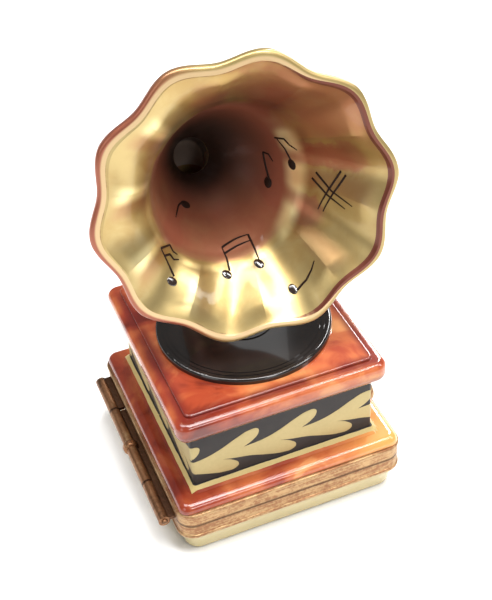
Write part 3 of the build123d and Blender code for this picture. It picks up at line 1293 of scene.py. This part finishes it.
# ------------------------------------------------------------------ cabinet
@dataclass
class Garland:
    """Running leaf garland painted round the frieze, one strip for each side."""

    half_width: float = 15.8 * MM
    half_depth: float = 17.25 * MM
    corner: float = 0.5 * MM
    pitch: float = 10.1 * MM
    first_notch: float = -7.0 * MM
    stand: float = 0.05 * MM
    sunk: float = 0.12 * MM
    curve_steps: int = 6
    # Where a strip is cut across so that it can bend, in corner radii past the flat.
    bend_cuts: tuple[float, ...] = (0, 0.26, 0.52)
    # One leaf pair: places along the frieze and heights in mm, from a notch on.
    upper: tuple[Pair, ...] = (
        (0.0, 17.2),
        (3.3, 17.45),
        (6.3, 18.35),
        (9.0, 19.65),
        (11.4, 20.5),
        (12.75, 20.25),
        (12.8, 19.3),
        (11.9, 18.2),
    )
    lower: tuple[Pair, ...] = (
        (-3.9, 16.05),
        (-1.8, 15.45),
        (1.2, 14.75),
        (4.0, 13.75),
        (6.6, 13.05),
        (8.6, 13.15),
        (9.1, 13.85),
        (8.3, 14.95),
    )

    def outline(self, length: float, start: float) -> list[tuple[float, float, bool]]:
        """Return the closed outline of one strip, notches marked as sharp.

        Args:
            length: length of the strip.
            start: where the strip starts along the garland.

        Returns:
            Points (along, height, sharp), in metres.
        """
        first = math.floor((start - length) / self.pitch) - 1
        last = math.ceil((start + length) / self.pitch) + 1
        above, below = [], []
        for count in range(first, last):
            shift = count * self.pitch - start
            for side, leaf in ((above, self.upper), (below, self.lower)):
                for index, (along, height) in enumerate(leaf):
                    side.append((shift + along * MM, height * MM, index == 0))
        return above + below[::-1]

    def drawn(self, points: list[tuple[float, float, bool]], name: str) -> Piece:
        """Draw a closed outline as one flat, thin strip.

        Args:
            points: the outline's points (along, height, sharp).
            name: name of the strip.

        Returns:
            The strip, lying in the XY plane.
        """
        deselect()
        bpy.ops.curve.primitive_bezier_curve_add(radius=1.0)
        curve = bpy.context.object
        curve.data.dimensions = "2D"
        curve.data.fill_mode = "BOTH"
        curve.data.extrude = (self.stand + self.sunk) / 2
        curve.data.resolution_u = self.curve_steps
        spline = curve.data.splines[0]
        spline.bezier_points.add(len(points) - len(spline.bezier_points))
        spline.use_cyclic_u = True
        for point, (along, height, sharp) in zip(spline.bezier_points, points):
            kind = "VECTOR" if sharp else "AUTO"
            point.co = (along, height, 0)
            point.handle_left_type = kind
            point.handle_right_type = kind
        strip = to_mesh(curve)
        strip.name = name
        return strip

    def trim(self, flat: float) -> None:
        """Cut the active strip to its side's length, and across where it will bend.

        Args:
            flat: half the length that stays flat.
        """
        reach = flat + self.corner * math.pi / 4
        cuts = [(-reach, True, False), (reach, False, True)]
        for side in (-1, 1):
            cuts += [(side * (flat + self.corner * cut), False, False) for cut in self.bend_cuts]
        bpy.ops.object.mode_set(mode="EDIT")
        for place, inner, outer in cuts:
            bpy.ops.mesh.select_all(action="SELECT")
            bpy.ops.mesh.bisect(
                plane_co=(place, 0, 0),
                plane_no=(1, 0, 0),
                use_fill=inner or outer,
                clear_inner=inner,
                clear_outer=outer,
            )
        bpy.ops.object.mode_set(mode="OBJECT")

    def wrap(self, strip: Piece, flat: float) -> None:
        """Stand a strip up in the XZ plane and bend its ends round the corners.

        Args:
            strip: the strip.
            flat: half the length that stays flat.
        """
        for vertex in strip.data.vertices:
            along, height, proud = vertex.co
            out = proud - self.sunk / 2 + self.stand / 2
            beyond = max(0.0, abs(along) - flat)
            angle = beyond / self.corner
            side = math.copysign(1.0, along)
            radius = self.corner + out
            x = along if beyond == 0 else side * (flat + radius * math.sin(angle))
            y = out if beyond == 0 else radius * math.cos(angle) - self.corner
            vertex.co = (x, -y, height)

    def build(self) -> list[Piece]:
        """Model the four strips in place.

        Returns:
            The strips.
        """
        made = []
        run_front, run_side = 2 * self.half_width, 2 * self.half_depth
        quarter, half_way = (run_front + run_side) / 2, run_front + run_side
        sides = (
            ("front", self.half_width, self.half_depth, 0.0, 0.0),
            ("right", self.half_depth, self.half_width, 90.0, quarter),
            ("back", self.half_width, self.half_depth, 180.0, half_way),
            ("left", self.half_depth, self.half_width, 270.0, -quarter),
        )
        for name, half, out, turn, along in sides:
            points = self.outline(half * 2, along - self.first_notch)
            strip = self.drawn(points, f"garland_{name}")
            flat = half - self.corner
            self.trim(flat)
            self.wrap(strip, flat)
            rotation = Matrix.Rotation(math.radians(turn), 4, "Z")
            strip.data.transform(rotation @ Matrix.Translation((0, -out, 0)))
            face_outwards(strip)
            made.append(strip)
        return made


@dataclass
class Cabinet:
    """Cabinet, slab and the painted garland."""

    garland: Garland = field(default_factory=Garland)

    def build(self) -> list[Piece]:
        """Dress the castings and add the garland.

        Returns:
            All of their pieces.
        """
        castings = [
            coat("cabinet_body", CabinetGlaze().material()),
            coat("cabinet_top", MarbledGlaze().material()),
        ]
        gilt = GiltLeaf().material()
        strips = self.garland.build()
        for strip in strips:
            paint(strip, gilt)
            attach(strip, "lid")
        return castings + strips


# ------------------------------------------------------------------ horn
@dataclass
class MouthFrame:
    """Frame of the horn's mouth: across, up and out of it."""

    place: Vector = field(default_factory=lambda: Vector((0.0, -6.95, 55.5)) * MM)
    azimuth: float = -10.6
    tilt: float = 9.6

    def out(self) -> Vector:
        """Find the direction out of the mouth.

        Returns:
            The direction, one metre long.
        """
        turn, rise = math.radians(self.azimuth), math.radians(self.tilt)
        return Vector(
            (math.sin(turn) * math.cos(rise), -math.cos(turn) * math.cos(rise), math.sin(rise))
        )

    def matrix(self) -> Matrix:
        """Find the way from the mouth's frame to the box's.

        Returns:
            The matrix.
        """
        out = self.out()
        across = Vector((0, 0, 1)).cross(out).normalized()
        up = out.cross(across)
        turn = Matrix((across, up, out)).transposed().to_4x4()
        return Matrix.Translation(self.place) @ turn


@dataclass(frozen=True)
class Sign:
    """One painted music sign.

    Attributes:
        name: name of the piece.
        heads: places of the note heads, across and up the mouth in mm.
        strokes: points of each brush stroke, across and up the mouth in mm.
        brush: how the heads are laid.
    """

    name: str
    heads: tuple[Pair, ...]
    strokes: tuple[tuple[Pair, ...], ...]
    brush: Brush = Brush.DRY


@dataclass
class PaintedNotes:
    """Music signs painted inside the horn, laid on its wall along the mouth's axis."""

    mouth: MouthFrame
    stroke_radius: float = 0.20 * MM
    stroke_sunk: float = 0.35
    stroke_steps: int = 8
    stroke_width: float = 1.05
    stroke_taper: float = 0.4
    # A head's length, width and thickness from its middle, and how it leans.
    head_size: tuple[float, float, float] = (0.95 * MM, 0.72 * MM, 0.16 * MM)
    head_lean: float = 35.0
    # How far in front of the mouth the search for the wall starts.
    search_start: float = 5 * MM
    signs: tuple[Sign, ...] = (
        Sign(
            "beamed_notes",
            ((-3.2, -14.5), (2.2, -14.05)),
            (
                ((-2.65, -14.2), (-2.7, -12.8), (-3.1, -11.45)),
                ((-3.1, -11.45), (-0.8, -11.05), (1.5, -10.74)),
                ((-2.9, -12.15), (-0.7, -11.75), (1.6, -11.4)),
                ((1.5, -10.74), (2.0, -12.2), (2.35, -13.6)),
            ),
            Brush.POOLED,
        ),
        Sign(
            "sixteenth_note",
            ((-12.2, -12.1),),
            (
                ((-11.75, -11.6), (-12.4, -9.3), (-13.08, -6.95)),
                ((-13.08, -6.95), (-11.57, -7.5), (-11.2, -8.6), (-10.6, -9.3)),
                ((-12.7, -8.3), (-11.8, -8.6), (-11.3, -9.6), (-10.5, -10.0)),
            ),
            Brush.POOLED,
        ),
        Sign(
            "throat_note",
            ((6.18, -4.2),),
            (((6.4, -3.6), (6.2, -1.6), (6.05, 0.45), (6.8, 0.3), (7.3, -0.8)),),
        ),
        Sign(
            "eighth_note",
            ((9.8, -0.55),),
            (
                ((9.7, 0.2), (9.0, 2.0), (7.86, 3.7)),
                ((7.7, 3.65), (8.9, 3.85), (9.6, 2.9), (10.6, 2.2)),
            ),
        ),
        Sign(
            "sharp_sign",
            (),
            (
                ((16.1, 0.05), (14.3, -3.2), (12.56, -6.8)),
                ((16.67, -0.4), (14.9, -3.5), (13.2, -7.0)),
                ((12.87, -0.95), (14.6, -3.4), (17.0, -5.05)),
                ((12.26, -2.0), (14.0, -4.2), (16.1, -5.8)),
            ),
        ),
        Sign(
            "quarter_note",
            ((6.6, -17.4),),
            (((7.3, -17.5), (8.9, -16.2), (9.9, -14.8), (10.55, -13.55)),),
            Brush.POOLED,
        ),
        Sign(
            "faded_note",
            ((-7.5, -5.8),),
            (((-7.9, -5.3), (-8.7, -5.3), (-9.6, -5.95)),),
        ),
    )

    def on_wall(self, across: float, up: float) -> tuple[Vector, Vector]:
        """Find where a point of the mouth lands on the bell's inner wall.

        Args:
            across: distance across the mouth, in mm.
            up: distance up the mouth, in mm.

        Returns:
            The place and the wall's normal.
        """
        out = self.mouth.out()
        start = self.mouth.matrix() @ Vector((across * MM, up * MM, self.search_start))
        hit, place, normal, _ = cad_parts["horn_bell"].ray_cast(start, -out)
        return (place, normal) if hit else (start, out)

    def stroke(self, points: tuple[Pair, ...]) -> Piece:
        """Model one brush stroke that follows the wall and tapers at its end.

        Args:
            points: the stroke's points, across and up in mm.

        Returns:
            The stroke, in place.
        """
        deselect()
        bpy.ops.curve.primitive_nurbs_path_add()
        curve = bpy.context.object
        curve.data.splines.clear()
        spline = curve.data.splines.new("POLY")
        steps = self.stroke_steps
        path = []
        for (x0, y0), (x1, y1) in zip(points, points[1:]):
            path += [(x0 + (x1 - x0) * s / steps, y0 + (y1 - y0) * s / steps) for s in range(steps)]
        path.append(points[-1])
        spline.points.add(len(path) - 1)
        for index, (point, (across, up)) in enumerate(zip(spline.points, path)):
            place, normal = self.on_wall(across, up)
            point.co = (*(place - normal * self.stroke_radius * self.stroke_sunk), 1.0)
            share = index / (len(path) - 1)
            point.radius = self.stroke_width - self.stroke_taper * share**2
        curve.data.dimensions = "3D"
        curve.data.bevel_depth = self.stroke_radius
        curve.data.bevel_resolution = 2
        curve.data.use_fill_caps = True
        return to_mesh(curve)

    def head(self, across: float, up: float) -> Piece:
        """Model one note head: a low oval drop lying on the wall.

        Args:
            across: its place across the mouth, in mm.
            up: its place up the mouth, in mm.

        Returns:
            The drop, in place.
        """
        place, normal = self.on_wall(across, up)
        deselect()
        bpy.ops.mesh.primitive_uv_sphere_add(segments=20, ring_count=10, radius=1.0)
        drop = bpy.context.object
        long, short, thick = self.head_size
        lean = Matrix.Rotation(math.radians(self.head_lean), 4, "Z")
        drop.data.transform(lean @ Matrix.Diagonal((short, long, thick, 1)))
        turn = normal.to_track_quat("Z", "Y").to_matrix().to_4x4()
        drop.data.transform(Matrix.Translation(place) @ turn)
        return drop

    def build(self) -> list[Piece]:
        """Model every sign.

        Returns:
            The pieces.
        """
        enamel = {brush: NoteEnamel(brush).material() for brush in Brush}
        made = []
        for sign in self.signs:
            strokes = [self.stroke(points) for points in sign.strokes]
            heads = [self.head(*place) for place in sign.heads]
            for mark in strokes:
                paint(mark, enamel[Brush.DRY])
            for mark in heads:
                paint(mark, enamel[sign.brush])
            piece = join(strokes + heads, sign.name)
            settle(piece)
            face_outwards(piece)
            bpy.ops.object.shade_smooth()
            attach(piece, "lid")
            made.append(piece)
        return made


@dataclass
class Horn:
    """Bell, neck, socket and painted notes."""

    mouth: MouthFrame = field(default_factory=MouthFrame)

    def build(self) -> list[Piece]:
        """Dress the horn and paint its notes.

        Returns:
            All of its pieces.
        """
        turn = self.mouth.matrix().to_euler()
        bell = HornLustre(self.mouth.place, turn).material()
        neck = HornLustre(self.mouth.place, turn, Wall.NECK).material()
        castings = [coat("horn_bell", bell), coat("horn_neck", neck), coat("horn_socket", neck)]
        return castings + PaintedNotes(self.mouth).build()


# ------------------------------------------------------------------ other groups
@dataclass
class Record:
    """The record on the slab."""

    node: str = "record_disc"

    def build(self) -> list[Piece]:
        """Dress the record.

        Returns:
            The record alone, as a list.
        """
        low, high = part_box(self.node)
        middle = (low + high) / 2
        return [coat(self.node, RecordGlaze((middle.x, middle.y)).material())]


@dataclass
class Mounts:
    """Tray, brass mounts, cement, hinge and clasp."""

    bright: tuple[str, ...] = ("upper_mount", "clasp_button", "lower_mount")
    worn: tuple[str, ...] = ("clasp_tongue", "catch_plate", "catch_stud", "hinge_pin")
    dark: tuple[str, ...] = ("middle_barrel", "front_barrel", "rear_barrel", "barrel_bead")
    cemented: tuple[str, ...] = ("lower_bedding", "upper_bedding")

    def build(self) -> list[Piece]:
        """Dress the tray, the cement and every metal piece.

        Returns:
            The pieces.
        """
        made = [coat("base_tray", TrayGlaze().material())]
        for nodes, finish in (
            (self.bright, AgedBrass(Age.BRIGHT)),
            (self.worn, AgedBrass(Age.WORN)),
            (self.dark, AgedBrass(Age.DARK)),
            (self.cemented, Cement()),
        ):
            material = finish.material()
            made += [coat(node, material) for node in nodes]
        return made


# ------------------------------------------------------------------ studio
@dataclass(frozen=True)
class Lamp:
    """One soft area light that looks at the box.

    Attributes:
        name: name of the light.
        place: where it stands, in metres.
        size: its two sides, in metres.
        power: its power, in watts.
    """

    name: str
    place: tuple[float, float, float]
    size: Pair
    power: float


@dataclass
class Studio:
    """Camera, pale floor and soft lights."""

    camera_place: Vector = field(default_factory=lambda: Vector((-48.58, -142.68, 156.31)) * MM)
    right: Vector = field(default_factory=lambda: Vector((0.92635, -0.37248, -0.05593)))
    forward: Vector = field(default_factory=lambda: Vector((0.25464, 0.72875, -0.63568)))
    lens: float = 71.37
    sensor: float = 36.0
    nearest: float = 5 * MM
    floor_size: float = 3.0
    floor_grain: Grain = Grain(40.0, 2.0)
    floor_pale: Colour = (0.93, 0.93, 0.92)
    floor_white: Colour = (0.96, 0.96, 0.955)
    aim_height: float = 35 * MM
    sky_strength: float = 0.20
    lamps: tuple[Lamp, ...] = (
        Lamp("softbox_top", (0.06, -0.14, 0.62), (0.09, 0.50), 2.6),
        Lamp("strip_front", (0.42, -0.22, 0.45), (0.08, 0.30), 1.1),
        Lamp("strip_over", (0.22, -0.03, 0.62), (0.035, 0.42), 1.3),
        Lamp("strip_corner", (0.20, -0.17, 0.57), (0.09, 0.045), 0.45),
        Lamp("strip_low", (0.54, 0.50, 0.27), (0.07, 0.46), 1.9),
        Lamp("window_back", (0.17, 0.50, 0.50), (0.07, 0.09), 0.02),
        Lamp("softbox_high", (-0.22, 0.10, 0.75), (0.35, 0.35), 3.2),
        Lamp("softbox_left", (-0.5, -0.25, 0.30), (0.20, 0.30), 0.45),
        Lamp("strip_right", (0.38, 0.42, 0.50), (0.06, 0.25), 2.0),
        Lamp("front_fill", (0.10, -0.60, 0.40), (0.16, 0.10), 0.7),
    )

    def camera(self) -> None:
        """Place the camera."""
        forward = self.forward.normalized()
        right = (self.right - forward * self.right.dot(forward)).normalized()
        up = right.cross(forward)
        turn = Matrix((right, up, -forward)).transposed().to_4x4()
        data = bpy.data.cameras.new("camera")
        data.lens = self.lens
        data.sensor_width = self.sensor
        data.clip_start = self.nearest
        camera = bpy.data.objects.new("camera", data)
        camera.matrix_world = Matrix.Translation(self.camera_place) @ turn
        bpy.context.scene.collection.objects.link(camera)
        bpy.context.scene.camera = camera

    def floor(self) -> None:
        """Lay the floor."""
        deselect()
        bpy.ops.mesh.primitive_plane_add(size=self.floor_size)
        floor = bpy.context.object
        floor.name = "floor"
        weave = Weave("floor_paper")
        grain = weave.noise(self.floor_grain)
        weave.set(Base_Color=weave.mix(grain, self.floor_pale, self.floor_white))
        weave.set(Roughness=0.85)
        floor.data.materials.append(weave.material)

    def hang(self, lamp: Lamp) -> None:
        """Hang one lamp.

        Args:
            lamp: the lamp.
        """
        data = bpy.data.lights.new(lamp.name, "AREA")
        data.shape = "RECTANGLE"
        data.size, data.size_y = lamp.size
        data.energy = lamp.power
        light = bpy.data.objects.new(lamp.name, data)
        place = Vector(lamp.place)
        aim = Vector((0, 0, self.aim_height)) - place
        turn = aim.to_track_quat("-Z", "Y").to_matrix().to_4x4()
        light.matrix_world = Matrix.Translation(place) @ turn
        bpy.context.scene.collection.objects.link(light)

    def sky(self) -> None:
        """Light the scene evenly from all round."""
        world = bpy.data.worlds.new("studio")
        world.use_nodes = True
        background = world.node_tree.nodes["Background"]
        background.inputs["Color"].default_value = (1.0, 1.0, 1.0, 1.0)
        background.inputs["Strength"].default_value = self.sky_strength
        bpy.context.scene.world = world

    def build(self) -> None:
        """Set up camera, floor, lights and sky."""
        self.camera()
        self.floor()
        for lamp in self.lamps:
            self.hang(lamp)
        self.sky()
        bpy.context.scene.view_settings.view_transform = "Standard"


def main() -> None:
    """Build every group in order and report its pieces."""
    logging.basicConfig(level=logging.INFO, format="%(name)s: %(message)s")
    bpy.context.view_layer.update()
    for group in (Mounts(), Cabinet(), Record(), Horn()):
        for piece in group.build():
            log.info("%s: %s", type(group).__name__, piece.name)
    Studio().build()


if __name__ == "__main__":
    main()
